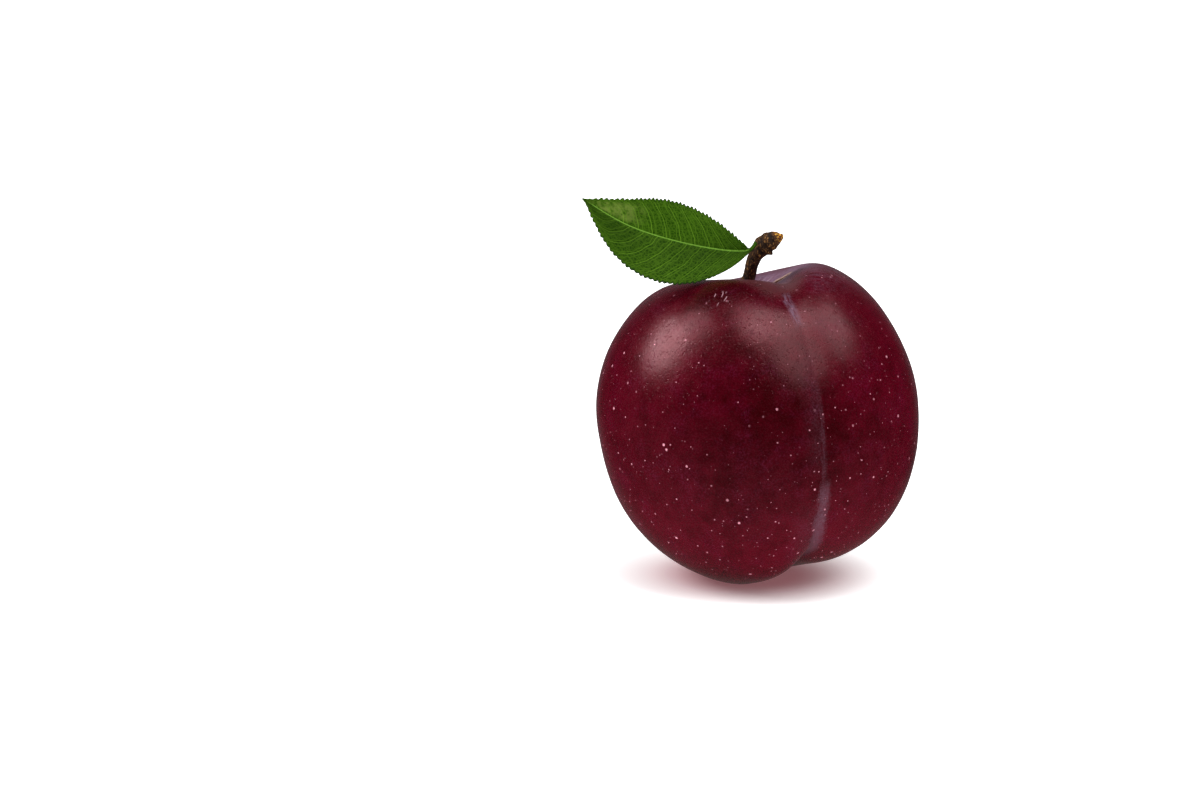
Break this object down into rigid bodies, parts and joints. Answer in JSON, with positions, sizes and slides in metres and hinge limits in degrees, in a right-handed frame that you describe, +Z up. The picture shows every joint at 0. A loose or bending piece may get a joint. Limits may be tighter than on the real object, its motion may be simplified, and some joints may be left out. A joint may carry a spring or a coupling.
{
  "type": "plum",
  "caption": "Ripe dark plum with a stem hollow, a suture down one side, a bent woody stem and one toothed leaf, at rest on a small flat spot.",
  "frame": {"origin": "middle of the small flat spot that the fruit rests on", "axes": "+Z up, -Y toward the side that shows the suture and the leaf's face, the leaf runs toward -X"},
  "size_m": [0.0621, 0.0588, 0.072],
  "materials": {
    "plum_skin": "dark crimson waxy skin, satin gloss, with pale specks and a faint bloom",
    "stem_bark": "dark brown rough bark, tan where it broke",
    "leaf_green": "satin green with pale veins"
  },
  "bodies": {
    "root": {"fruit": "plum_skin", "stem": "stem_bark", "leaf": "leaf_green"}
  },
  "joints": []
}
